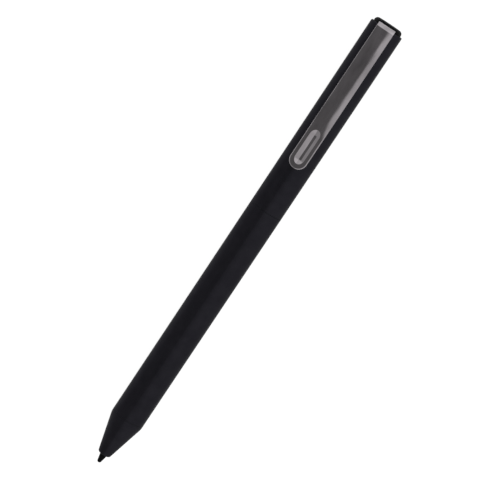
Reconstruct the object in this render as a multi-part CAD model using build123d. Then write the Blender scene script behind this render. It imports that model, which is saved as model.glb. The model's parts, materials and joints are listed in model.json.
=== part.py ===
from build123d import *

import os
from math import asin, atan2, cos, hypot, pi, sin, sqrt

# A slim active stylus pen that runs on one small dry cell.
# It lies along X with its nib towards -X and its clip on top, and its barrel rests on the plane z = 0.
# Sizes are in millimetres. Stations along the pen are measured from the very end of the nib.

# Dry cell
battery_diameter = 8.2
battery_length = 42.5
battery_edge_round = 0.4
battery_terminal_radius = 1.9
battery_terminal_length = 0.8
battery_gap = 0.15
washer_thickness = 0.25
washer_width = 1.3

# Barrel tubes
barrel_wall = 0.5
seam_gap = 0.03
seam_break = 0.04
tail_round_share = 0.7

# Clearances of pieces that are glued, pressed or laid in place
fit_gap = 0.02
lay_gap = 0.1

# Nib
nib_reach = 2.82
nib_tip_radius = 0.6
nib_base_radius = 1.07
nib_gap = 0.08
nib_shaft_radius = 0.6
nib_guide_length = 2.2
nib_travel = 0.4

# Nose cone
nose_length = 11.5
nose_land = 1.0
nose_front_radius = 1.83
nose_front_round_share = 0.8
nose_kink_round = 4.0
nose_shoulder_setback = 1.4
nose_spigot_wall = 0.75
nose_spigot_overhang = 0.5

# Nib holder
holder_wall = 0.55
holder_gap = 0.12
holder_front_gap = 0.4
holder_flange_length = 1.2
holder_flange_gap = 0.2
holder_stem_radius = 0.95
holder_stem_length = 3.4
holder_socket_spare = 0.2
collet_slit_width = 0.25
collet_slit_share = 0.5

# Nib return spring
nib_spring_wire = 0.32
nib_spring_turns = 5
nib_spring_gap = 0.15

# Force sensor, its housing and its ribbon
housing_wall = 0.55
housing_floor = 1.3
sensor_length = 1.2
sensor_gap = 0.15
sensor_step_share = 0.3
sensor_face_share = 0.8
ribbon_width = 2.4
ribbon_thickness = 0.15
ribbon_rise = 0.35
ribbon_gap = 0.15
ribbon_lap = 2.5
ribbon_socket_length = 2.0
ribbon_socket_height = 0.9
ribbon_socket_side = 0.5

# Chassis and circuit board
chassis_length = 55.84
bulkhead_length = 1.6
chassis_pocket_width_share = 0.5
chassis_pocket_depth_share = 0.65
chassis_land_share = 0.2
board_thickness = 0.8
board_edge_gap = 0.45
board_corner_radius = 0.6

# Parts on the board: length along the pen, width across it and height
controller_size = (4.0, 4.0, 0.8)
driver_size = (3.0, 3.0, 0.75)
inductor_size = (3.0, 3.0, 1.4)
crystal_size = (3.2, 1.5, 0.7)
capacitor_size = (1.0, 0.5, 0.5)
chip_bevel_share = 0.15
inductor_round_share = 0.3
crystal_round_share = 0.3
controller_place_share = 0.28
crystal_place_share = 0.38
driver_place_share = 0.50
inductor_place_share = 0.61
ground_spring_place_share = 0.76
screw_place_shares = (0.14, 0.86)
capacitor_place_shares = (0.22, 0.34, 0.44, 0.56, 0.68)
capacitor_row_share = 0.76

# Board screws
screw_radius = 0.6
screw_length = 2.6
screw_head_radius = 1.05
screw_head_length = 0.5
screw_hole_spare = 0.2
screw_slot_width = 0.3
screw_slot_depth_share = 0.5

# Ground spring
ground_leaf = 0.2
ground_width = 1.6
ground_foot = 3.0
ground_reach = 3.6
ground_bend_radius = 0.6

# Threaded collar, seal ring and battery contact
collar_insert = 6.5
collar_wall = 0.5
collar_pilot = 0.4
collar_land = 0.3
collar_end_land = 0.35
seal_section = 0.7
seal_gap = 0.05
thread_pitch = 0.75
thread_turns = 3
thread_depth = 0.22
thread_gap = 0.06
thread_base_share = 0.5
thread_crest_share = 0.32
thread_sink = 0.06
thread_spare = 0.4
contact_block_length = 4.0
contact_boss_wall = 0.5
contact_reach = 1.3
contact_head_radius = 1.5
contact_head_length = 0.5
contact_shaft_radius = 0.5
contact_shaft_gap = 0.1
contact_lap = 3.0

# Battery spring and its cup
cup_sheet = 0.25
cup_depth = 3.2
battery_end_gap = 1.75
battery_spring_wire = 0.45
battery_spring_turns = 4
battery_spring_gap = 0.2
battery_spring_top_share = 0.55

# Tail plug
plug_shank = 7.05
plug_wall = 0.95
plug_head_length = 1.3
plug_head_inset = 0.12
plug_head_round = 1.0

# Clip: one bent strip of sheet steel with a dished dimple near its free end
clip_length = 44.0
clip_width = 5.0
clip_sheet = 0.5
clip_rise = 1.0
clip_droop = 0.25
clip_bend_radius = 1.2
clip_heel_radius = 0.8
clip_gap = 0.12
dimple_length = 10.3
dimple_width = 2.7
dimple_depth = 0.45
dimple_setback = 6.6
tongue_width = 2.6
tongue_length = 3.0
tongue_gap = 0.2

# Arc pairs in each turn of a spring
coil_spans_per_turn = 4

# How far a cutting shape runs past what it cuts
overrun = 0.5

# Radii worked out from the sizes above
bore_radius = battery_diameter / 2 + battery_gap
barrel_radius = bore_radius + barrel_wall
spigot_radius = bore_radius - fit_gap
nib_bore_radius = nib_base_radius + nib_gap
holder_socket_radius = nib_shaft_radius + fit_gap
holder_radius = holder_socket_radius + holder_wall
holder_bore_radius = holder_radius + holder_gap
housing_bore_radius = spigot_radius - nose_spigot_wall
housing_radius = housing_bore_radius - fit_gap
housing_inner_radius = housing_radius - housing_wall
flange_radius = housing_inner_radius - holder_flange_gap
sensor_radius = housing_inner_radius - fit_gap
chassis_radius = bore_radius - lay_gap
mouth_radius = bore_radius + thread_depth
collar_core_radius = bore_radius - thread_gap
collar_crest_radius = mouth_radius - thread_gap
seal_centre_radius = mouth_radius - seal_gap - seal_section / 2
groove_floor_radius = seal_centre_radius - seal_section / 2 - seal_gap
collar_bore_radius = groove_floor_radius - collar_wall
contact_block_radius = collar_bore_radius - fit_gap
plug_radius = bore_radius - fit_gap
plug_head_radius = bore_radius - plug_head_inset
cup_radius = plug_radius - plug_wall
cup_inner_radius = cup_radius - cup_sheet

# Heights worked out from the sizes above, from the pen's axis
board_top = -contact_shaft_radius
board_bottom = board_top - board_thickness
chassis_half_flat = sqrt(chassis_radius**2 - board_bottom**2)
board_width = 2 * (chassis_half_flat - board_edge_gap)
ribbon_bottom = board_top + ribbon_rise
ribbon_top = ribbon_bottom + ribbon_thickness
clip_top = barrel_radius + clip_rise + clip_sheet
clip_pad_top = clip_top - clip_droop
tongue_top = sqrt(bore_radius**2 - (tongue_width / 2) ** 2) - tongue_gap
tongue_bottom = tongue_top - clip_sheet

# Stations worked out from the sizes above, from the tip to the tail
x_front = nib_reach
x_guide_end = x_front + nib_guide_length
x_nib_shoulder = x_guide_end + holder_front_gap
x_holder_front = x_nib_shoulder + fit_gap
x_kink = x_front + nose_length
x_nose_end = x_kink + nose_land
x_shoulder = x_kink - nose_shoulder_setback
x_flange_front = x_shoulder + fit_gap
x_flange_rear = x_flange_front + holder_flange_length
x_stem_end = x_flange_rear + holder_stem_length
x_sensor = x_stem_end + nib_travel + sensor_gap
x_sensor_end = x_sensor + sensor_length
x_housing_end = x_sensor_end + housing_floor
x_spigot_end = x_housing_end + nose_spigot_overhang
x_chassis = x_spigot_end + seam_gap
x_chassis_end = x_chassis + chassis_length
x_board = x_chassis + bulkhead_length + lay_gap
x_board_end = x_chassis_end - bulkhead_length - lay_gap
x_ribbon_socket = x_board + ribbon_lap
x_collar = x_chassis_end + seam_gap
x_seam = x_collar + collar_insert
x_rear = x_seam + seam_gap
x_groove = x_rear + collar_pilot
x_groove_end = x_groove + seal_section + 2 * seal_gap
x_thread = x_groove_end + collar_land + thread_pitch * thread_base_share / 2
thread_length = thread_pitch * thread_turns
x_collar_end = x_thread + thread_length + thread_pitch * thread_base_share / 2 + collar_end_land
x_mouth_end = x_thread + thread_length + thread_pitch + thread_spare
x_block = x_collar_end - contact_block_length
x_contact = x_collar_end + contact_reach
x_battery = x_contact + fit_gap
x_can = x_battery + battery_terminal_length
x_battery_end = x_battery + battery_length
x_cup = x_battery_end + battery_end_gap
x_plug = x_cup + cup_sheet
x_cup_end = x_plug + cup_depth
x_end = x_plug + plug_shank
x_tail = x_end + plug_head_length
x_leg = x_end + clip_gap
x_leg_outside = x_leg + clip_sheet
x_clip = x_leg_outside - clip_length
board_length = x_board_end - x_board


def turned(*outline, rounds=None):
    """A solid turned about the pen's axis from (station, radius) points, with a fillet at some corners."""
    radii = [0.0] * len(outline)
    for corner, radius in (rounds or {}).items():
        radii[corner] = radius
    face = make_face(FilletPolyline(*outline, radius=radii, close=True))
    return revolve(Plane.XZ * face, Axis.X)


def rod(start, end, radius):
    """A round bar along the pen's axis."""
    return turned((start, 0), (start, radius), (end, radius), (end, 0))


def block(start, end, width, bottom, top):
    """A block that is centred across the pen."""
    corner = (Align.MIN, Align.CENTER, Align.MIN)
    return Pos(start, 0, bottom) * Box(end - start, width, top - bottom, align=corner)


def chip(size, share, round_share):
    """A block on top of the board at a share of its length, with its upright edges rounded."""
    length, width, height = size
    centre = x_board + share * board_length
    body = block(centre - length / 2, centre + length / 2, width, board_top, board_top + height)
    return fillet(body.edges().filter_by(Axis.Z), round_share * width)


def thread_ridge(root_radius, crest_radius, start):
    """A right-handed thread ridge that is let a little into the wall that carries it."""
    outward = 1 if crest_radius > root_radius else -1
    sunk_radius = root_radius - outward * thread_sink
    half_base = thread_pitch * thread_base_share / 2
    half_crest = thread_pitch * thread_crest_share / 2
    height = abs(crest_radius - root_radius)
    half_sunk = half_base + (half_base - half_crest) * thread_sink / height
    path = Helix(thread_pitch, thread_length, sunk_radius, center=(start, 0, 0), direction=(1, 0, 0))
    profile = Polyline(
        (start - half_sunk, sunk_radius),
        (start + half_sunk, sunk_radius),
        (start + half_crest, crest_radius),
        (start - half_crest, crest_radius),
        close=True,
    )
    return sweep(Plane.XZ * make_face(profile), path=path, is_frenet=True)


def coil(wire, turns, start, height, radius, direction, end_radius):
    """A round wire wound along the pen's axis to a cylinder or a cone, as a chain of tangent arcs."""
    spans = turns * coil_spans_per_turn
    swell = end_radius - radius
    points = []
    tangents = []
    for step in range(spans + 1):
        share = step / spans
        angle = 2 * pi * turns * share
        reach = radius + swell * share
        sweep_rate = 2 * pi * turns * reach
        points.append(Vector(start + direction * height * share, reach * cos(angle), reach * sin(angle)))
        across = swell * cos(angle) - sweep_rate * sin(angle)
        upward = swell * sin(angle) + sweep_rate * cos(angle)
        tangents.append(Vector(direction * height, across, upward).normalized())
    arcs = []
    for place, lead, next_place, next_lead in zip(points, tangents, points[1:], tangents[1:]):
        arcs.extend(arc_pair(place, lead, next_place, next_lead))
    section = Plane(origin=points[0], z_dir=tangents[0]) * Circle(wire / 2)
    return sweep(section, path=Wire(arcs))


def arc_pair(place, lead, next_place, next_lead):
    """Two tangent arcs that leave one place along its lead and reach the next place along its own."""
    step = next_place - place
    along = step.dot(lead + next_lead)
    spread = 2 * (1 - lead.dot(next_lead))
    reach = (sqrt(along**2 + spread * step.dot(step)) - along) / spread
    middle = (place + lead * reach + next_place - next_lead * reach) / 2
    first = TangentArc(place, middle, tangent=lead)
    return first, TangentArc(middle, next_place, tangent=first % 1)


def nib():
    """Ball tip that runs smoothly into a cone, guided body and thin shaft."""
    span = hypot(x_front - nib_tip_radius, nib_base_radius)
    lean = atan2(nib_base_radius, x_front - nib_tip_radius) - asin(nib_tip_radius / span)
    x_cone = nib_tip_radius - nib_tip_radius * sin(lean)
    body = turned(
        (x_cone, 0),
        (x_cone, nib_tip_radius * cos(lean)),
        (x_front, nib_base_radius),
        (x_nib_shoulder, nib_base_radius),
        (x_nib_shoulder, nib_shaft_radius),
        (x_flange_rear, nib_shaft_radius),
        (x_flange_rear, 0),
    )
    return body + Pos(nib_tip_radius, 0, 0) * Sphere(nib_tip_radius)


def nib_holder():
    """Split collet for the nib, flange that stops on the nose cone, and stem that guides the spring."""
    x_socket_end = x_flange_rear + holder_socket_spare
    body = turned(
        (x_holder_front, holder_socket_radius),
        (x_holder_front, holder_radius),
        (x_flange_front, holder_radius),
        (x_flange_front, flange_radius),
        (x_flange_rear, flange_radius),
        (x_flange_rear, holder_stem_radius),
        (x_stem_end, holder_stem_radius),
        (x_stem_end, 0),
        (x_socket_end, 0),
        (x_socket_end, holder_socket_radius),
    )
    slit_length = collet_slit_share * (x_flange_front - x_holder_front)
    slit_depth = holder_radius + overrun
    slit = block(
        x_holder_front - overrun, x_holder_front + slit_length, collet_slit_width, -slit_depth, slit_depth
    )
    return body - slit - Rot(90, 0, 0) * slit


def nib_spring():
    """Return spring between the holder's flange and the force sensor."""
    radius = holder_stem_radius + nib_spring_gap + nib_spring_wire / 2
    height = x_sensor - x_flange_rear - nib_spring_wire
    start = x_flange_rear + nib_spring_wire / 2
    return coil(nib_spring_wire, nib_spring_turns, start, height, radius, 1, radius)


def nose_cone():
    """Moulded taper with the nib's guide bore, the holder's bore and a spigot for the front barrel."""
    front_round = nose_front_round_share * (nose_front_radius - nib_bore_radius)
    return turned(
        (x_front, nib_bore_radius),
        (x_front, nose_front_radius),
        (x_kink, barrel_radius),
        (x_nose_end, barrel_radius),
        (x_nose_end, spigot_radius),
        (x_spigot_end, spigot_radius),
        (x_spigot_end, housing_bore_radius),
        (x_shoulder, housing_bore_radius),
        (x_shoulder, holder_bore_radius),
        (x_guide_end, holder_bore_radius),
        (x_guide_end, nib_bore_radius),
        rounds={1: front_round, 2: nose_kink_round, 3: seam_break},
    )


def sensor_housing():
    """Cup in the nose cone that guides the flange and backs the force sensor."""
    body = turned(
        (x_shoulder + fit_gap, housing_inner_radius),
        (x_shoulder + fit_gap, housing_radius),
        (x_housing_end, housing_radius),
        (x_housing_end, 0),
        (x_sensor_end, 0),
        (x_sensor_end, housing_inner_radius),
    )
    slot = block(
        x_sensor_end - overrun,
        x_housing_end + overrun,
        ribbon_width + 2 * ribbon_gap,
        ribbon_bottom - ribbon_gap,
        ribbon_top + ribbon_gap,
    )
    return body - slot


def force_sensor():
    """Stepped puck that the return spring presses on."""
    x_step = x_sensor + sensor_step_share * sensor_length
    face_radius = sensor_face_share * sensor_radius
    return turned(
        (x_sensor, 0),
        (x_sensor, face_radius),
        (x_step, face_radius),
        (x_step, sensor_radius),
        (x_sensor_end, sensor_radius),
        (x_sensor_end, 0),
    )


def sensor_ribbon():
    """Flat lead from the back of the force sensor to its socket on the board."""
    return block(x_sensor_end, x_ribbon_socket, ribbon_width, ribbon_bottom, ribbon_top)


def ribbon_socket():
    """Socket on the board that takes the ribbon."""
    width = ribbon_width + 2 * ribbon_socket_side
    top = board_top + ribbon_socket_height
    body = block(x_ribbon_socket, x_ribbon_socket + ribbon_socket_length, width, board_top, top)
    return chamfer(body.faces().sort_by(Axis.Z)[-1].edges(), chip_bevel_share * ribbon_socket_height)


def chassis():
    """Half-round carrier under the board with a bulkhead at each end."""
    bar = rod(x_chassis, x_chassis_end, chassis_radius)
    x_inner = x_chassis + bulkhead_length
    x_inner_end = x_chassis_end - bulkhead_length
    bar -= block(x_inner, x_inner_end, 2 * barrel_radius, board_bottom, barrel_radius)
    depth = chassis_pocket_depth_share * (chassis_radius + board_bottom)
    bar -= block(
        x_board + chassis_land_share * board_length,
        x_board_end - chassis_land_share * board_length,
        2 * chassis_half_flat * chassis_pocket_width_share,
        board_bottom - depth,
        board_bottom + overrun,
    )
    bar -= block(
        x_chassis - overrun,
        x_inner + overrun,
        ribbon_width + 2 * ribbon_gap,
        ribbon_bottom - ribbon_gap,
        ribbon_top + ribbon_gap,
    )
    bar -= rod(x_inner_end - overrun, x_chassis_end + overrun, contact_shaft_radius + contact_shaft_gap)
    for share in screw_place_shares:
        bar -= screw_hole(share)
    return bar


def screw_hole(share):
    """Hole through the board and into the chassis for one board screw."""
    depth = screw_length + screw_hole_spare
    hole = Cylinder(screw_radius + fit_gap, depth, align=(Align.CENTER, Align.CENTER, Align.MAX))
    return Pos(x_board + share * board_length, 0, board_top) * hole


def circuit_board():
    """Board with rounded corners and two screw holes."""
    board = block(x_board, x_board_end, board_width, board_bottom, board_top)
    board = fillet(board.edges().filter_by(Axis.Z), board_corner_radius)
    for share in screw_place_shares:
        board -= screw_hole(share)
    return board


def board_capacitors():
    """Two rows of small capacitors along the edges of the board."""
    length, width, height = capacitor_size
    row = capacitor_row_share * board_width / 2
    bodies = Part()
    for share in capacitor_place_shares:
        centre = x_board + share * board_length
        body = block(centre - length / 2, centre + length / 2, width, board_top, board_top + height)
        for side in (-row, row):
            bodies += Pos(0, side, 0) * body
    return bodies


def board_screws():
    """The two screws that hold the board to the chassis."""
    on_top = (Align.CENTER, Align.CENTER, Align.MIN)
    slot_depth = screw_slot_depth_share * screw_head_length
    slot_length = 2 * (screw_head_radius + overrun)
    screw = Cylinder(screw_radius, screw_length, align=(Align.CENTER, Align.CENTER, Align.MAX))
    screw += Cylinder(screw_head_radius, screw_head_length, align=on_top)
    slot = Box(slot_length, screw_slot_width, slot_depth + overrun, align=on_top)
    screw -= Pos(0, 0, screw_head_length - slot_depth) * slot
    bodies = Part()
    for share in screw_place_shares:
        bodies += Pos(x_board + share * board_length, 0, board_top) * screw
    return bodies


def ground_spring():
    """Bent leaf that stands on the board and touches the bore of the front barrel."""
    centre = x_board + ground_spring_place_share * board_length
    low = board_top + ground_leaf / 2
    high = sqrt(bore_radius**2 - (ground_width / 2) ** 2) - fit_gap - ground_leaf / 2
    path = FilletPolyline(
        (centre - ground_foot / 2, low),
        (centre + ground_foot / 2, low),
        (centre - ground_reach / 2, (low + high) / 2),
        (centre, high),
        (centre + ground_reach / 2, high),
        radius=ground_bend_radius,
    )
    return extrude(Plane.XZ * trace(path, ground_leaf), ground_width / 2, both=True)


def thread_collar():
    """Sleeve fixed in the front barrel, with a seal groove and the outer thread for the rear barrel."""
    body = turned(
        (x_collar, collar_bore_radius),
        (x_collar, spigot_radius),
        (x_seam, spigot_radius),
        (x_seam, collar_core_radius),
        (x_groove, collar_core_radius),
        (x_groove, groove_floor_radius),
        (x_groove_end, groove_floor_radius),
        (x_groove_end, collar_core_radius),
        (x_collar_end, collar_core_radius),
        (x_collar_end, collar_bore_radius),
    )
    return body + thread_ridge(collar_core_radius, collar_crest_radius, x_thread)


def contact_block():
    """Insulator in the collar that carries the battery contact on a boss."""
    x_boss_end = x_contact - contact_head_length
    hole_radius = contact_shaft_radius + fit_gap
    boss_radius = contact_head_radius + contact_boss_wall
    return turned(
        (x_block, hole_radius),
        (x_block, contact_block_radius),
        (x_collar_end, contact_block_radius),
        (x_collar_end, boss_radius),
        (x_boss_end, boss_radius),
        (x_boss_end, hole_radius),
    )


def front_contact():
    """Headed pin that takes the battery's positive end to the board."""
    x_head = x_contact - contact_head_length
    return turned(
        (x_board_end - contact_lap, 0),
        (x_board_end - contact_lap, contact_shaft_radius),
        (x_head, contact_shaft_radius),
        (x_head, contact_head_radius),
        (x_contact, contact_head_radius),
        (x_contact, 0),
        rounds={4: contact_head_length / 2},
    )


def front_barrel():
    """Plain tube from the nose cone to the seam in the middle of the pen."""
    return turned(
        (x_nose_end + seam_gap, bore_radius),
        (x_nose_end + seam_gap, barrel_radius),
        (x_seam, barrel_radius),
        (x_seam, bore_radius),
        rounds={1: seam_break, 2: seam_break},
    )


def seal_ring():
    """Rubber ring in the collar's groove."""
    centre = (x_groove + x_groove_end) / 2
    section = Pos(centre, seal_centre_radius) * Circle(seal_section / 2)
    return revolve(Plane.XZ * section, Axis.X)


def rear_barrel():
    """Tube round the cell, with the inner thread at its mouth."""
    body = turned(
        (x_rear, mouth_radius),
        (x_rear, barrel_radius),
        (x_end, barrel_radius),
        (x_end, bore_radius),
        (x_mouth_end, bore_radius),
        (x_mouth_end, mouth_radius),
        rounds={1: seam_break, 2: tail_round_share * barrel_wall},
    )
    return body + thread_ridge(mouth_radius, bore_radius, x_thread + thread_pitch / 2)


def battery_cell():
    """Dry cell with its positive terminal towards the nib."""
    return turned(
        (x_battery, 0),
        (x_battery, battery_terminal_radius),
        (x_can, battery_terminal_radius),
        (x_can, battery_diameter / 2),
        (x_battery_end, battery_diameter / 2),
        (x_battery_end, 0),
        rounds={3: battery_edge_round, 4: battery_edge_round},
    )


def battery_washer():
    """Insulating washer round the positive terminal."""
    inner = battery_terminal_radius + lay_gap
    outer = inner + washer_width
    start = x_can - washer_thickness
    return turned((start, inner), (start, outer), (x_can, outer), (x_can, inner))


def battery_spring():
    """Conical spring from the floor of its cup to the negative end of the cell."""
    base = cup_inner_radius - battery_spring_gap - battery_spring_wire / 2
    floor = x_cup_end - cup_sheet
    start = floor - battery_spring_wire / 2
    height = floor - x_battery_end - battery_spring_wire
    top = battery_spring_top_share * base
    return coil(battery_spring_wire, battery_spring_turns, start, height, base, -1, top)


def spring_cup():
    """Pressed metal cup whose rim touches the rear barrel."""
    rim_radius = bore_radius - fit_gap
    floor = x_cup_end - cup_sheet
    return turned(
        (x_cup, cup_inner_radius),
        (x_cup, rim_radius),
        (x_plug, rim_radius),
        (x_plug, cup_radius),
        (x_cup_end, cup_radius),
        (x_cup_end, 0),
        (floor, 0),
        (floor, cup_inner_radius),
    )


def tail_plug():
    """Plug that closes the tail, holds the spring cup and traps the clip's tongue."""
    pocket_radius = cup_radius + fit_gap
    pocket_end = x_cup_end + fit_gap
    body = turned(
        (pocket_end, 0),
        (pocket_end, pocket_radius),
        (x_plug, pocket_radius),
        (x_plug, plug_radius),
        (x_end, plug_radius),
        (x_end, plug_head_radius),
        (x_tail, plug_head_radius),
        (x_tail, 0),
        rounds={6: plug_head_round},
    )
    pocket_start = x_leg - tongue_length - tongue_gap
    pocket_width = tongue_width + 2 * tongue_gap
    return body - block(
        pocket_start, x_leg_outside + clip_gap, pocket_width, tongue_bottom - tongue_gap, barrel_radius
    )


def dimple_press(growth):
    """Bar with ball ends that dishes the dimple, grown by the sheet's thickness for its underside."""
    press_radius = (dimple_depth**2 + (dimple_width / 2) ** 2) / (2 * dimple_depth)
    pad_height = clip_pad_top + clip_droop * dimple_setback / clip_length
    axis_height = pad_height - dimple_depth + press_radius
    x_centre = x_clip + dimple_setback
    reach = (dimple_length - dimple_width) / 2
    bar = Pos(x_centre, 0, axis_height) * Rot(0, 90, 0) * Cylinder(press_radius + growth, 2 * reach)
    for end in (-reach, reach):
        bar += Pos(x_centre + end, 0, axis_height) * Sphere(press_radius + growth)
    return bar


def clip():
    """One strip of sheet steel: straight arm with a dimple, bend, leg and the tongue inside the barrel."""
    x_leg_middle = x_leg + clip_sheet / 2
    tongue_middle = tongue_bottom + clip_sheet / 2
    middle = FilletPolyline(
        (x_clip, clip_pad_top - clip_sheet / 2),
        (x_leg_middle, clip_top - clip_sheet / 2),
        (x_leg_middle, tongue_middle),
        (x_leg - tongue_length, tongue_middle),
        radius=(clip_bend_radius - clip_sheet / 2, clip_heel_radius - clip_sheet / 2),
    )
    side_view = Plane.XZ * trace(middle, clip_sheet)
    end_radius = clip_width / 2
    plan = Pos(x_clip + end_radius, 0) * Circle(end_radius)
    straight = Rectangle(clip_length, clip_width, align=(Align.MIN, Align.CENTER))
    plan += Pos(x_clip + end_radius, 0) * straight
    arm = extrude(side_view, end_radius, both=True) & extrude(
        Pos(0, 0, barrel_radius) * plan, clip_top - barrel_radius + overrun
    )
    underside = dimple_press(clip_sheet) & block(
        x_clip, x_leg, clip_width, barrel_radius, clip_pad_top - clip_sheet / 2
    )
    tongue = extrude(side_view, tongue_width / 2, both=True) & block(
        x_leg - tongue_length - overrun, x_leg_outside + overrun, clip_width, 0, clip_top - clip_bend_radius
    )
    return arm + underside + tongue - dimple_press(0)


PIECES = {
    "nib": nib,
    "nib_holder": nib_holder,
    "nib_spring": nib_spring,
    "nose_cone": nose_cone,
    "sensor_housing": sensor_housing,
    "force_sensor": force_sensor,
    "sensor_ribbon": sensor_ribbon,
    "ribbon_socket": ribbon_socket,
    "chassis": chassis,
    "circuit_board": circuit_board,
    "controller_chip": lambda: chip(controller_size, controller_place_share, chip_bevel_share),
    "driver_chip": lambda: chip(driver_size, driver_place_share, chip_bevel_share),
    "boost_inductor": lambda: chip(inductor_size, inductor_place_share, inductor_round_share),
    "crystal": lambda: chip(crystal_size, crystal_place_share, crystal_round_share),
    "board_capacitors": board_capacitors,
    "board_screws": board_screws,
    "ground_spring": ground_spring,
    "thread_collar": thread_collar,
    "contact_block": contact_block,
    "front_contact": front_contact,
    "front_barrel": front_barrel,
    "seal_ring": seal_ring,
    "rear_barrel": rear_barrel,
    "battery_cell": battery_cell,
    "battery_washer": battery_washer,
    "battery_spring": battery_spring,
    "spring_cup": spring_cup,
    "tail_plug": tail_plug,
    "clip": clip,
}

os.makedirs("parts", exist_ok=True)
to_rest = Pos(-x_tail / 2, 0, barrel_radius)
for name, make in PIECES.items():
    export_step(to_rest * make(), f"parts/{name}.step")
print(f"length {x_tail:.2f}, diameter {2 * barrel_radius:.2f}, clip top {clip_top + barrel_radius:.2f}")
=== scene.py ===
import json
from math import atan, cos, hypot, pi, radians, sin, sqrt, tan

import bmesh
import bpy
from mathutils import Matrix, Vector


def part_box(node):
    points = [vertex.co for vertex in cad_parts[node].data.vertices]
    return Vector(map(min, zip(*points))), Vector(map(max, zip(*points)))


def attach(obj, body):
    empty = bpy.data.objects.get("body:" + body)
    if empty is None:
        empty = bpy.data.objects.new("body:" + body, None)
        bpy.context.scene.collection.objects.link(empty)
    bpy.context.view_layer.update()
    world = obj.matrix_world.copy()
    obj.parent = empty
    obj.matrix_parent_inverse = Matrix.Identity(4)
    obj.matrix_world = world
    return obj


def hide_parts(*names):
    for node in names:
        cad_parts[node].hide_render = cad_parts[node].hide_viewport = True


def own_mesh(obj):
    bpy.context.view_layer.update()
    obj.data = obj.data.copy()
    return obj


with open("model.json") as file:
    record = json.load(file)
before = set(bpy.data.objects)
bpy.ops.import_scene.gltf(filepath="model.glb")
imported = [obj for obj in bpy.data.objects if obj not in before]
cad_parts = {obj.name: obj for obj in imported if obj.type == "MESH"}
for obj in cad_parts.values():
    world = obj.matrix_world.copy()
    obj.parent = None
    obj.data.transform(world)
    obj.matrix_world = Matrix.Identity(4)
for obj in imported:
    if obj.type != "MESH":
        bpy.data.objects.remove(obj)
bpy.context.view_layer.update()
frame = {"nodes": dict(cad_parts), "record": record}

# Looks of a slim black stylus pen. Lengths are written in millimetres and turned into metres with MM.
MM = 0.001

# Camera: where the pen lies in the picture, how the camera stands over it, and how long its lens is
IMAGE_PX = 500
FOCAL_PX = 1877.0
SENSOR_MM = 36.0
CAMERA_DISTANCE = 500.0 * MM
TAIL_TILT = radians(9.5)
SIDE_ROLL = radians(1.3)
PEN_ANGLE = radians(56.31)
ANCHOR = Vector((3.3275 * MM, 0, 4.75 * MM))
ANCHOR_PX = (247.50, 238.00)

# Clip: one strip of sheet steel in the sizes of the solid that it stands for, with a gentle crown,
# rounded rims and a dimple with drawn-out ends
CLIP_LOW, CLIP_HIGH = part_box("clip")
CLIP_HALF_WIDTH = CLIP_HIGH.y
CLIP_LENGTH = CLIP_HIGH.x - CLIP_LOW.x
CLIP_SHEET = 0.5 * MM
CLIP_DROOP = 0.25 * MM
CLIP_PAD_TOP = 10.75 * MM
CLIP_BEND = 1.2 * MM
CLIP_CROWN_RADIUS = 24.0 * MM
CLIP_PAD_LENGTH = 7.0 * MM
CLIP_PAD_BLEND = 8.5 * MM
CLIP_PAD_CROWN_SHARE = 0.1
CLIP_PAD_RIM = 0.25 * MM
CLIP_ARM_RIM = 0.13 * MM
CLIP_UNDER_ROUND = 0.12 * MM
DIMPLE_CENTRE = 6.6 * MM
DIMPLE_LENGTH = 10.3 * MM
DIMPLE_END = 1.7 * MM
DIMPLE_WIDTH = 2.7 * MM
DIMPLE_DEPTH = 0.45 * MM
DIMPLE_SOFT = 0.012 * MM
TONGUE_HALF_WIDTH = 1.3 * MM
TONGUE_LENGTH = 3.0 * MM
TONGUE_BEND = 0.8 * MM
SHOULDER_HEIGHT = 9.5 * MM
SHOULDER_RUN = 0.12 * MM

# Nib return spring: the coil of the solid that it stands for, made anew as a round wire wound along the pen's
# axis.
# The slack keeps its ends a little off the faces that it presses on.
SPRING_LOW, SPRING_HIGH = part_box("nib_spring")
SPRING_WIRE = 0.32 * MM
SPRING_TURNS = 5
SPRING_SLACK = 0.005 * MM

# Mesh steps of the spring
COIL_STEPS = 36
COIL_SIDES = 12

# Mesh steps of the clip
TOP_ROWS = 36
UNDER_ROWS = 14
RIM_STEPS = 6
UNDER_RIM_STEPS = 3
END_STEPS = 60
BEND_STEPS = 20
DIMPLE_STEP = 0.07 * MM
DIMPLE_MARGIN = 0.35 * MM
BLEND_STEP = 0.25 * MM
ARM_STEP = 0.8 * MM
SHOULDER_STEP = 0.02 * MM
MERGE_DISTANCE = 0.0001 * MM


def ease(share):
    """A smooth step from zero to one."""
    share = min(max(share, 0), 1)
    return share * share * (3 - 2 * share)


def steps(start, end, size):
    """Even steps from start up to end, without the end."""
    count = max(1, round((end - start) / size))
    return [start + (end - start) * i / count for i in range(count)]


# The strip's side view: a straight arm that droops, a bend, a leg, a heel and a tongue inside the barrel
DROOP_ANGLE = atan(CLIP_DROOP / CLIP_LENGTH)
BEND_X = CLIP_HIGH.x - CLIP_BEND
BEND_Z = CLIP_PAD_TOP + (CLIP_LENGTH - CLIP_BEND) * tan(DROOP_ANGLE) - CLIP_BEND / cos(DROOP_ANGLE)
ARM_END = (CLIP_LENGTH - CLIP_BEND - CLIP_BEND * sin(DROOP_ANGLE)) / cos(DROOP_ANGLE)
BEND_END = ARM_END + CLIP_BEND * (pi / 2 + DROOP_ANGLE)
HEEL_Z = CLIP_LOW.z + TONGUE_BEND
LEG_END = BEND_END + BEND_Z - HEEL_Z
HEEL_END = LEG_END + TONGUE_BEND * pi / 2
STRIP_END = HEEL_END + TONGUE_LENGTH + CLIP_SHEET - TONGUE_BEND
SHOULDER = BEND_END + BEND_Z - SHOULDER_HEIGHT


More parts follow.
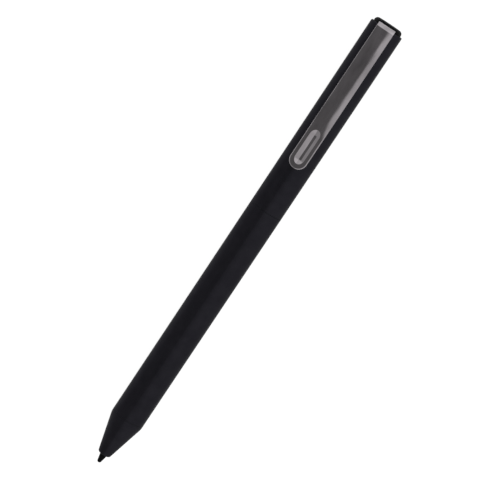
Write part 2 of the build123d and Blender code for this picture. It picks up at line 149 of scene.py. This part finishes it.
def strip_point(s, y, depth):
    """The place on the strip at a length along it, a distance across it and a depth below its outer face."""
    if s <= ARM_END:
        share = CLIP_PAD_CROWN_SHARE + pad_blend(s) * (1 - CLIP_PAD_CROWN_SHARE)
        sunk = depth + share * crown(y) + dimple_depth(s, y, depth)
        x = CLIP_LOW.x + s * cos(DROOP_ANGLE) + sunk * sin(DROOP_ANGLE)
        return Vector((x, y, CLIP_PAD_TOP + s * sin(DROOP_ANGLE) - sunk * cos(DROOP_ANGLE)))
    if s <= BEND_END:
        turn = (s - ARM_END) / CLIP_BEND - DROOP_ANGLE
        reach = CLIP_BEND - depth - crown(y) * (1 - ease(turn / (pi / 2)))
        return Vector((BEND_X + reach * sin(turn), y, BEND_Z + reach * cos(turn)))
    if s <= LEG_END:
        return Vector((CLIP_HIGH.x - depth, y, BEND_Z - (s - BEND_END)))
    heel_x = CLIP_HIGH.x - TONGUE_BEND
    if s <= HEEL_END:
        turn = (s - LEG_END) / TONGUE_BEND
        reach = TONGUE_BEND - depth
        return Vector((heel_x + reach * cos(turn), y, HEEL_Z - reach * sin(turn)))
    return Vector((heel_x - (s - HEEL_END), y, CLIP_LOW.z + depth))


def crown(y):
    """How far the strip's gently rounded face falls away from its middle line."""
    return CLIP_CROWN_RADIUS - sqrt(CLIP_CROWN_RADIUS**2 - y**2)


def dimple_depth(s, y, depth):
    """How far the dimple's press, a round bar with drawn-out ends, pushes the sheet down at a place in it."""
    press = (DIMPLE_DEPTH**2 + (DIMPLE_WIDTH / 2) ** 2) / (2 * DIMPLE_DEPTH)
    beyond = max(abs(s - DIMPLE_CENTRE) - DIMPLE_LENGTH / 2 + DIMPLE_END, 0)
    off_axis = hypot(beyond * DIMPLE_WIDTH / (2 * DIMPLE_END), y)
    radius = press + depth
    pushed = sqrt(max(radius**2 - off_axis**2, 0)) - radius + DIMPLE_DEPTH
    return (pushed + hypot(pushed, DIMPLE_SOFT)) / 2


def half_width(s):
    """Half the strip's width: wide as far as the shoulder on its leg, narrow on its tongue."""
    narrowing = ease((s - SHOULDER) / SHOULDER_RUN)
    return CLIP_HALF_WIDTH + narrowing * (TONGUE_HALF_WIDTH - CLIP_HALF_WIDTH)


def pad_blend(s):
    """How far the strip has gone over from its pad, at zero, to its arm, at one."""
    return ease((s - CLIP_PAD_LENGTH) / CLIP_PAD_BLEND)


def section_rows(s):
    """The strip's half section from the middle of its top round the rim to the middle of its underside.

    Each row is a share of the way in from the rim's rounding, a distance in from the edge and a depth.
    """
    rim = CLIP_PAD_RIM + pad_blend(s) * (CLIP_ARM_RIM - CLIP_PAD_RIM)
    rows = []
    for i in range(TOP_ROWS):
        rows.append((1 - i / TOP_ROWS, rim, 0))
    for i in range(RIM_STEPS + 1):
        turn = pi / 2 * i / RIM_STEPS
        rows.append((0, rim * (1 - sin(turn)), rim * (1 - cos(turn))))
    for i in range(UNDER_RIM_STEPS + 1):
        turn = pi / 2 * i / UNDER_RIM_STEPS
        depth = CLIP_SHEET - CLIP_UNDER_ROUND * (1 - sin(turn))
        rows.append((0, CLIP_UNDER_ROUND * (1 - cos(turn)), depth))
    for i in range(1, UNDER_ROWS + 1):
        rows.append((i / UNDER_ROWS, CLIP_UNDER_ROUND, CLIP_SHEET))
    return rows


def strip_column(s, side, turn):
    """One half section of the strip, on a straight side of it or round its free end."""
    points = []
    half = half_width(s)
    for share, edge, depth in section_rows(s):
        reach = (half - edge) * (1 - share)
        if turn is None:
            points.append(strip_point(s, side * reach, depth))
        else:
            points.append(strip_point(CLIP_HALF_WIDTH - reach * cos(turn), reach * sin(turn), depth))
    return points


def clip_mesh():
    """The clip's strip as one closed mesh, with rows that follow its outline all round."""
    fine_end = DIMPLE_CENTRE + DIMPLE_LENGTH / 2 + DIMPLE_MARGIN
    lengths = steps(CLIP_HALF_WIDTH, fine_end, DIMPLE_STEP)
    lengths += steps(lengths[-1] + DIMPLE_STEP, CLIP_PAD_LENGTH + CLIP_PAD_BLEND, BLEND_STEP)
    lengths += steps(CLIP_PAD_LENGTH + CLIP_PAD_BLEND, ARM_END, ARM_STEP)
    lengths += steps(ARM_END, BEND_END, (BEND_END - ARM_END) / BEND_STEPS)
    lengths += steps(BEND_END, SHOULDER, SHOULDER - BEND_END)
    lengths += steps(SHOULDER, SHOULDER + SHOULDER_RUN, SHOULDER_STEP)
    lengths += steps(SHOULDER + SHOULDER_RUN, LEG_END, BLEND_STEP)
    lengths += steps(LEG_END, HEEL_END, (HEEL_END - LEG_END) / BEND_STEPS)
    lengths += [HEEL_END, STRIP_END]
    columns = [strip_column(s, 1, None) for s in reversed(lengths)]
    for i in range(1, END_STEPS):
        turn = pi / 2 - pi * i / END_STEPS
        columns.append(strip_column(CLIP_HALF_WIDTH, 1, turn))
    columns += [strip_column(s, -1, None) for s in lengths]
    work = bmesh.new()
    grid = [[work.verts.new(point) for point in column] for column in columns]
    for column, following in zip(grid, grid[1:]):
        for i in range(len(column) - 1):
            work.faces.new((column[i], column[i + 1], following[i + 1], following[i]))
    work.faces.new(grid[0] + grid[-1][-2:0:-1])
    bmesh.ops.remove_doubles(work, verts=work.verts, dist=MERGE_DISTANCE)
    bmesh.ops.recalc_face_normals(work, faces=work.faces)
    for face in work.faces:
        face.smooth = True
    mesh = bpy.data.meshes.new("clip_strip")
    work.to_mesh(mesh)
    work.free()
    return mesh


def coil_mesh():
    """The return spring as one closed mesh: a round wire wound along the pen's axis."""
    middle = (SPRING_LOW + SPRING_HIGH) / 2
    radius = (SPRING_HIGH.y - SPRING_LOW.y - SPRING_WIRE) / 2
    height = SPRING_HIGH.x - SPRING_LOW.x - SPRING_WIRE - 2 * SPRING_SLACK
    count = SPRING_TURNS * COIL_STEPS
    work = bmesh.new()
    rings = []
    for i in range(count + 1):
        turn = 2 * pi * i / COIL_STEPS
        outward = Vector((0, cos(turn), sin(turn)))
        lead = Vector((height / (2 * pi * SPRING_TURNS), -radius * sin(turn), radius * cos(turn)))
        across = lead.normalized().cross(outward)
        place = middle + Vector((height * (i / count - 1 / 2), 0, 0)) + radius * outward
        ring = []
        for k in range(COIL_SIDES):
            side = 2 * pi * k / COIL_SIDES
            spoke = cos(side) * outward + sin(side) * across
            ring.append(work.verts.new(place + SPRING_WIRE / 2 * spoke))
        rings.append(ring)
    for ring, following in zip(rings, rings[1:]):
        for k in range(COIL_SIDES):
            work.faces.new((ring[k - 1], ring[k], following[k], following[k - 1]))
    for face in work.faces:
        face.smooth = True
    work.faces.new(rings[0])
    work.faces.new(rings[-1])
    bmesh.ops.recalc_face_normals(work, faces=work.faces)
    mesh = bpy.data.meshes.new("return_coil")
    work.to_mesh(mesh)
    work.free()
    return mesh


# Patterns of the materials: sizes and depths in millimetres. A detail is how many finer layers a noise has.
PLAIN = 1.0
SOFT = 2.0
FINE = 3.0
FINER = 4.0
FINEST = 5.0
PATTERN_LOW = 0.3
PATTERN_HIGH = 0.7
EVEN = (1, 1, 1)
ALONG = (60, 1, 1)
ROUND = (1, 40, 40)
WIRE = (1, 8, 8)
COAT_PATCH = 2.6
COAT_GLOSS_PATCH = 1.4
COAT_DEPTH = 0.002
CLIP_LINE = 0.09
CLIP_LINE_DEPTH = 0.0002
CLIP_CLOUD = 2.6
CLIP_CLOUD_STRETCH = (3, 1, 1)
CLIP_TONES = ((0.232, 0.216, 0.226), (0.350, 0.327, 0.342))
CLIP_ROUGH = (0.05, 0.10)
CLIP_SWELL = 2.6
CLIP_SWELL_STRETCH = (2.5, 1, 1)
CLIP_SWELL_DEPTH = 0.03
METAL_LINE = 0.06
METAL_LINE_DEPTH = 0.001
METAL_STAIN = 0.9
FLOW_MARK = 1.5
FLOW_STRETCH = (2, 1, 1)
MOULD_PATCH = 0.5
MOULD_GRAIN = 0.07
MOULD_DEPTH = 0.002
MOULD_SPECULAR = 0.4
TRACK = 0.35
TRACK_STRETCH = (14, 1, 1)
TRACK_EDGE = (0.44, 0.48)
TRACK_DEPTH = 0.012
TRACK_STOPS = (
    (TRACK_EDGE[0], (0.012, 0.075, 0.032)),
    (TRACK_EDGE[1], (0.030, 0.160, 0.062)),
    (0.60, (0.022, 0.125, 0.050)),
)
MASK_PATCH = 0.8
MASK_ROUGH = (0.25, 0.38)
MASK_SPECULAR = 0.5
CELL_SPAN = (18.0 * MM, 61.0 * MM)
CELL_STOPS = (
    (0.00, (0.50, 0.47, 0.42)),
    (0.07, (0.50, 0.47, 0.42)),
    (0.09, (0.045, 0.07, 0.12)),
    (0.60, (0.05, 0.08, 0.135)),
    (0.62, (0.30, 0.31, 0.33)),
    (0.97, (0.34, 0.35, 0.37)),
)
CELL_PATCH = 1.2
CELL_ROUGH = (0.28, 0.42)
CELL_FOLD = 1.6
CELL_FOLD_STRETCH = (4, 1, 1)
CELL_FOLD_DEPTH = 0.004
CELL_METAL = 0.35


class Paint:
    """A material whose nodes are added one by one round its shader. Pattern sizes are in millimetres."""

    def __init__(self, name):
        self.material = bpy.data.materials.new(name)
        self.material.use_nodes = True
        self.tree = self.material.node_tree
        self.shader = self.tree.nodes["Principled BSDF"]
        self.place = self.tree.nodes.new("ShaderNodeTexCoord").outputs["Object"]

    def link(self, start, end):
        """Joins one node's result to another's socket."""
        self.tree.links.new(start, end)

    def noise(self, size, detail, stretch=EVEN):
        """Noise with marks of a size, drawn out along the axes by the stretch."""
        mapping = self.tree.nodes.new("ShaderNodeMapping")
        mapping.inputs["Scale"].default_value = [1 / (size * MM * share) for share in stretch]
        self.link(self.place, mapping.inputs["Vector"])
        texture = self.tree.nodes.new("ShaderNodeTexNoise")
        texture.inputs["Scale"].default_value = 1
        texture.inputs["Detail"].default_value = detail
        self.link(mapping.outputs["Vector"], texture.inputs["Vector"])
        return texture.outputs["Fac"]

    def spread(self, value, low, high, start=PATTERN_LOW, end=PATTERN_HIGH):
        """A pattern's values spread over a new range."""
        node = self.tree.nodes.new("ShaderNodeMapRange")
        for name, number in (("From Min", start), ("From Max", end), ("To Min", low), ("To Max", high)):
            node.inputs[name].default_value = number
        self.link(value, node.inputs["Value"])
        return node.outputs["Result"]

    def colours(self, value, *stops):
        """A pattern turned into colours by (place, colour) stops."""
        node = self.tree.nodes.new("ShaderNodeValToRGB")
        ramp = node.color_ramp
        while len(ramp.elements) < len(stops):
            ramp.elements.new(1)
        for element, (place, colour) in zip(ramp.elements, stops):
            element.position = place
            element.color = (*colour, 1)
        self.link(value, node.inputs["Fac"])
        return node.outputs["Color"]

    def base(self, value, first, second):
        """Base colour between two tones."""
        colour = self.colours(value, (PATTERN_LOW, first), (PATTERN_HIGH, second))
        self.link(colour, self.shader.inputs["Base Color"])

    def gloss(self, value, low, high):
        """Roughness between two values."""
        self.link(self.spread(value, low, high), self.shader.inputs["Roughness"])

    def bump(self, value, depth):
        """Surface marks of a depth, added to those that are there."""
        node = self.tree.nodes.new("ShaderNodeBump")
        node.inputs["Distance"].default_value = depth * MM
        self.link(value, node.inputs["Height"])
        normal = self.shader.inputs["Normal"]
        if normal.is_linked:
            self.link(normal.links[0].from_socket, node.inputs["Normal"])
        self.link(node.outputs["Normal"], normal)

    def set(self, **values):
        """Constants on the shader's own sockets."""
        for name, value in values.items():
            self.shader.inputs[name.replace("_", " ")].default_value = value
        return self.material


def soft_black(name, tones, grain, rough, **constants):
    """Matte black coat or moulding: fine even grain, faint patches of tone and gloss."""
    paint = Paint(name)
    paint.base(paint.noise(COAT_PATCH, FINER), *tones)
    paint.gloss(paint.noise(COAT_GLOSS_PATCH, FINEST), *rough)
    paint.bump(paint.noise(grain, SOFT), COAT_DEPTH)
    return paint.set(**constants)


def polished_clip(name):
    """Dark polished metal with fine lengthwise lines, faint clouds and a slightly uneven face."""
    paint = Paint(name)
    lines = paint.noise(CLIP_LINE, FINER, ALONG)
    paint.base(paint.noise(CLIP_CLOUD, FINER, CLIP_CLOUD_STRETCH), *CLIP_TONES)
    paint.gloss(lines, *CLIP_ROUGH)
    paint.bump(lines, CLIP_LINE_DEPTH)
    paint.bump(paint.noise(CLIP_SWELL, PLAIN, CLIP_SWELL_STRETCH), CLIP_SWELL_DEPTH)
    return paint.set(Metallic=1)


def bare_metal(name, first, second, rough, stretch):
    """Drawn, turned or plated metal with fine lines along the stretch and faint stains."""
    paint = Paint(name)
    lines = paint.noise(METAL_LINE, FINER, stretch)
    paint.base(paint.noise(METAL_STAIN, FINER), first, second)
    paint.gloss(lines, *rough)
    paint.bump(lines, METAL_LINE_DEPTH)
    return paint.set(Metallic=1)


def moulded(name, first, second, rough, specular=MOULD_SPECULAR):
    """Moulded plastic or pressed ceramic: fine grain and faint flow marks."""
    paint = Paint(name)
    paint.base(paint.noise(FLOW_MARK, FINER, FLOW_STRETCH), first, second)
    paint.gloss(paint.noise(MOULD_PATCH, FINER), *rough)
    paint.bump(paint.noise(MOULD_GRAIN, SOFT), MOULD_DEPTH)
    return paint.set(Specular_IOR_Level=specular)


def circuit_green(name):
    """Solder mask over copper tracks that run along the board."""
    paint = Paint(name)
    tracks = paint.noise(TRACK, PLAIN, TRACK_STRETCH)
    paint.link(paint.colours(tracks, *TRACK_STOPS), paint.shader.inputs["Base Color"])
    paint.gloss(paint.noise(MASK_PATCH, FINE), *MASK_ROUGH)
    paint.bump(paint.spread(tracks, 0, 1, *TRACK_EDGE), TRACK_DEPTH)
    return paint.set(Specular_IOR_Level=MASK_SPECULAR)


def cell_wrap(name):
    """Printed film on a cell: plain bands of colour round it and faint folds along it, with no marks."""
    paint = Paint(name)
    split = paint.tree.nodes.new("ShaderNodeSeparateXYZ")
    paint.link(paint.place, split.inputs["Vector"])
    band = paint.spread(split.outputs["X"], 0, 1, *CELL_SPAN)
    paint.link(paint.colours(band, *CELL_STOPS), paint.shader.inputs["Base Color"])
    paint.gloss(paint.noise(CELL_PATCH, FINER), *CELL_ROUGH)
    paint.bump(paint.noise(CELL_FOLD, FINE, CELL_FOLD_STRETCH), CELL_FOLD_DEPTH)
    return paint.set(Metallic=CELL_METAL)


# The looks of each slot: two tones, then a grain for the black ones, the roughness and what else differs
BLACK_COAT = ((0.0148, 0.0143, 0.0180), (0.0182, 0.0176, 0.0218))
COAT_SHINE = {"Metallic": 1, "Specular_Tint": (0.58, 0.58, 0.58, 1)}
BLACK_RESIN = ((0.0022, 0.0022, 0.0026), (0.0036, 0.0036, 0.0040))
MATERIALS = {
    "barrel_black": lambda n: soft_black(n, BLACK_COAT, 0.07, (0.36, 0.46), **COAT_SHINE),
    "nose_black": lambda n: soft_black(n, BLACK_COAT, 0.05, (0.36, 0.46), **COAT_SHINE),
    "nib_black": lambda n: soft_black(n, BLACK_RESIN, 0.04, (0.60, 0.70), Specular_IOR_Level=0.03),
    "plug_black": lambda n: soft_black(n, BLACK_RESIN, 0.05, (0.50, 0.60), Specular_IOR_Level=0.04),
    "clip_gunmetal": polished_clip,
    "spring_steel": lambda n: bare_metal(n, (0.50, 0.50, 0.51), (0.60, 0.60, 0.61), (0.22, 0.36), WIRE),
    "nickel": lambda n: bare_metal(n, (0.56, 0.54, 0.50), (0.66, 0.64, 0.60), (0.20, 0.34), ROUND),
    "contact_brass": lambda n: bare_metal(n, (0.70, 0.52, 0.22), (0.82, 0.64, 0.32), (0.16, 0.30), ROUND),
    "collar_metal": lambda n: bare_metal(n, (0.55, 0.55, 0.56), (0.66, 0.66, 0.67), (0.24, 0.40), ROUND),
    "holder_plastic": lambda n: moulded(n, (0.76, 0.74, 0.68), (0.84, 0.82, 0.76), (0.35, 0.48)),
    "frame_plastic": lambda n: moulded(n, (0.045, 0.045, 0.048), (0.062, 0.062, 0.066), (0.42, 0.56)),
    "sensor_ceramic": lambda n: moulded(n, (0.80, 0.79, 0.75), (0.88, 0.87, 0.83), (0.30, 0.45)),
    "ribbon_film": lambda n: moulded(n, (0.48, 0.21, 0.035), (0.60, 0.29, 0.06), (0.18, 0.30), 0.5),
    "socket_plastic": lambda n: moulded(n, (0.66, 0.63, 0.54), (0.76, 0.73, 0.64), (0.36, 0.50)),
    "board_green": circuit_green,
    "chip_black": lambda n: moulded(n, (0.016, 0.016, 0.018), (0.024, 0.024, 0.026), (0.50, 0.64)),
    "ferrite": lambda n: moulded(n, (0.055, 0.055, 0.06), (0.085, 0.085, 0.09), (0.55, 0.70)),
    "capacitor_tan": lambda n: moulded(n, (0.36, 0.25, 0.14), (0.48, 0.34, 0.20), (0.34, 0.48)),
    "seal_rubber": lambda n: moulded(n, (0.014, 0.014, 0.014), (0.024, 0.024, 0.024), (0.55, 0.70), 0.3),
    "cell_jacket": cell_wrap,
    "washer_card": lambda n: moulded(n, (0.52, 0.48, 0.40), (0.68, 0.64, 0.56), (0.70, 0.85), 0.2),
}
paints = {name: make(name) for name, make in MATERIALS.items()}


def dress(obj, slot):
    """Gives a piece the one material of a slot."""
    obj.data.materials.clear()
    obj.data.materials.append(paints[slot])


for part in frame["record"]["subparts"]:
    dress(frame["nodes"][part["node"]], part["material_slot"])


def add_piece(mesh, body, node, slot):
    """Adds a piece that rides on a body and stands for a node of it."""
    piece = bpy.data.objects.new(mesh.name, mesh)
    bpy.context.scene.collection.objects.link(piece)
    dress(piece, slot)
    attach(piece, body)
    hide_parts(node)
    return piece


add_piece(clip_mesh(), "clip", "clip", "clip_gunmetal")
spring = add_piece(coil_mesh(), "front", "nib_spring", "spring_steel")
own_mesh(spring)

# Floor
FLOOR_HALF = 4000.0 * MM
FLOOR_DROP = 0.02 * MM
FLOOR_GLOW = 0.90
FLOOR_TONE = (0.22, 0.22, 0.22, 1)
WHITE = (1, 1, 1, 1)


def floor():
    """A plain white floor that glows to the eye and in reflections, and keeps a light shadow."""
    mesh = bpy.data.meshes.new("floor")
    corners = [(x, y, -FLOOR_DROP) for x, y in ((-1, -1), (1, -1), (1, 1), (-1, 1))]
    mesh.from_pydata([(x * FLOOR_HALF, y * FLOOR_HALF, z) for x, y, z in corners], [], [(0, 1, 2, 3)])
    obj = bpy.data.objects.new("floor", mesh)
    bpy.context.scene.collection.objects.link(obj)
    material = bpy.data.materials.new("floor")
    material.use_nodes = True
    tree = material.node_tree
    shader = tree.nodes["Principled BSDF"]
    shader.inputs["Base Color"].default_value = FLOOR_TONE
    shader.inputs["Roughness"].default_value = 1
    shader.inputs["Specular IOR Level"].default_value = 0
    shader.inputs["Emission Color"].default_value = WHITE
    rays = tree.nodes.new("ShaderNodeLightPath")
    seen = rays.outputs["Is Camera Ray"]
    for name in ("Is Glossy Ray", "Is Transmission Ray"):
        either = tree.nodes.new("ShaderNodeMath")
        either.operation = "MAXIMUM"
        tree.links.new(seen, either.inputs[0])
        tree.links.new(rays.outputs[name], either.inputs[1])
        seen = either.outputs["Value"]
    glow = tree.nodes.new("ShaderNodeMath")
    glow.operation = "MULTIPLY"
    glow.inputs[1].default_value = FLOOR_GLOW
    tree.links.new(seen, glow.inputs[0])
    tree.links.new(glow.outputs["Value"], shader.inputs["Emission Strength"])
    mesh.materials.append(material)


# Light: a bright tent, brightest on the pen's right and at its tail, with a dark card over the pen.
# The card's edges are slopes (across over up) towards the tail and towards the pen's left.
# The tent's tones go over into each other between two values of a direction's own X or Y.
CARD_ALONG = (-0.23, 0.14)
CARD_ACROSS = (-0.07, 0.58)
CARD_SOFT = 0.03
CARD_TONE = 0.22
LEAST_UP = 0.02
TENT_RIGHT = 0.95
TENT_LEFT = 0.60
TENT_TAIL = 0.50
TENT_NIB = 0.15
RIGHT_TURN = (-0.15, 0)
TAIL_TURN = (0.05, 0.30)
NIB_TURN = (-0.60, -0.20)


def tent():
    """The tent as the world's light, by direction."""
    world = bpy.data.worlds.new("tent")
    bpy.context.scene.world = world
    world.use_nodes = True
    tree = world.node_tree

    def work_out(operation, first, second):
        """One operation on two values, each a number or another node's result."""
        node = tree.nodes.new("ShaderNodeMath")
        node.operation = operation
        for socket, value in zip(node.inputs, (first, second)):
            if isinstance(value, (int, float)):
                socket.default_value = value
            else:
                tree.links.new(value, socket)
        return node.outputs["Value"]

    def soft_step(value, start, end, low=0, high=1):
        """A smooth step from low to high as a value goes from start to end."""
        node = tree.nodes.new("ShaderNodeMapRange")
        node.interpolation_type = "SMOOTHSTEP"
        for name, number in (("From Min", start), ("From Max", end), ("To Min", low), ("To Max", high)):
            node.inputs[name].default_value = number
        tree.links.new(value, node.inputs["Value"])
        return node.outputs["Result"]

    def between(value, edges):
        """One between two soft edges and zero outside them."""
        rise = soft_step(value, edges[0] - CARD_SOFT, edges[0] + CARD_SOFT)
        fall = soft_step(value, edges[1] - CARD_SOFT, edges[1] + CARD_SOFT, 1, 0)
        return work_out("MULTIPLY", rise, fall)

    split = tree.nodes.new("ShaderNodeSeparateXYZ")
    tree.links.new(tree.nodes.new("ShaderNodeTexCoord").outputs["Generated"], split.inputs["Vector"])
    up = work_out("MAXIMUM", split.outputs["Z"], LEAST_UP)
    along = between(work_out("DIVIDE", split.outputs["X"], up), CARD_ALONG)
    across = between(work_out("DIVIDE", split.outputs["Y"], up), CARD_ACROSS)
    extra = TENT_RIGHT - TENT_LEFT
    nib = soft_step(split.outputs["X"], *NIB_TURN, extra + TENT_NIB, extra)
    right = work_out("MULTIPLY", soft_step(split.outputs["Y"], *RIGHT_TURN, 1, 0), nib)
    tail = soft_step(split.outputs["X"], *TAIL_TURN, TENT_LEFT, TENT_LEFT + TENT_TAIL)
    walls = work_out("ADD", right, tail)
    card = work_out("MULTIPLY", along, across)
    darker = work_out("MULTIPLY", card, work_out("SUBTRACT", walls, CARD_TONE))
    shade = work_out("SUBTRACT", walls, darker)
    tree.links.new(shade, tree.nodes["Background"].inputs["Strength"])
    tree.nodes["Background"].inputs["Color"].default_value = WHITE


def camera():
    """A camera over the pen, turned so that the pen lies in the picture as in the photo."""
    roll = Matrix.Rotation(SIDE_ROLL, 3, "X")
    back = roll @ Vector((sin(TAIL_TILT), 0, cos(TAIL_TILT)))
    along = roll @ Vector((cos(TAIL_TILT), 0, -sin(TAIL_TILT)))
    side = roll @ Vector((0, 1, 0))
    right = along * cos(PEN_ANGLE) - side * sin(PEN_ANGLE)
    up = along * sin(PEN_ANGLE) + side * cos(PEN_ANGLE)
    off_right = (ANCHOR_PX[0] - IMAGE_PX / 2) / FOCAL_PX * CAMERA_DISTANCE
    off_up = (IMAGE_PX / 2 - ANCHOR_PX[1]) / FOCAL_PX * CAMERA_DISTANCE
    lens = bpy.data.cameras.new("camera")
    lens.sensor_width = SENSOR_MM
    lens.lens = FOCAL_PX / IMAGE_PX * SENSOR_MM
    obj = bpy.data.objects.new("camera", lens)
    bpy.context.scene.collection.objects.link(obj)
    place = Matrix((right, up, back)).transposed().to_4x4()
    place.translation = ANCHOR + back * CAMERA_DISTANCE - right * off_right - up * off_up
    obj.matrix_world = place
    bpy.context.scene.camera = obj


floor()
tent()
camera()
bpy.context.scene.view_settings.view_transform = "Standard"

bpy.context.view_layer.update()
